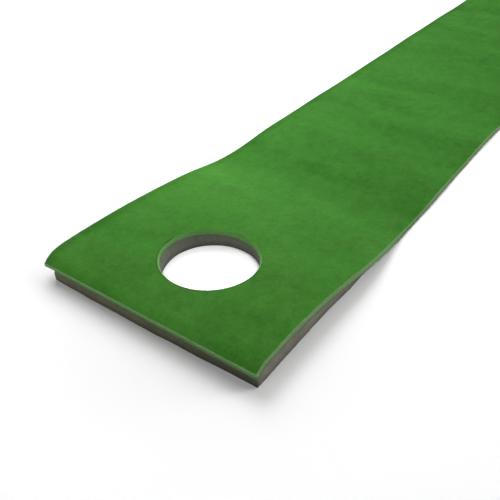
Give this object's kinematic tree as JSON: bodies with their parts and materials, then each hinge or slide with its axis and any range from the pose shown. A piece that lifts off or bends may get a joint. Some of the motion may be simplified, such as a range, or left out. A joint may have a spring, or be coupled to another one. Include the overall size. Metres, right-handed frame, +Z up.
{
  "type": "practice putting mat",
  "caption": "Strip of green short-pile turf on a thin non-slip backing, raised at one end on a foam wedge with a regulation-size cup hole cut through it.",
  "frame": {"origin": "centre of the cup hole at floor level", "axes": "+Z up, along the cup hole's axis; +Y along the putting lane from the raised end to the far end; +X towards the edge where the wedge is flush with the turf"},
  "size_m": [0.2794, 2.4384, 0.0232],
  "materials": {
    "pile": "matte",
    "backing": "matte",
    "adhesive": "satin",
    "foam": "matte"
  },
  "bodies": {
    "root": {"turf_pile": "pile", "turf_backing": "backing", "wedge_adhesive": "adhesive", "ramp_wedge": "foam"}
  },
  "joints": []
}
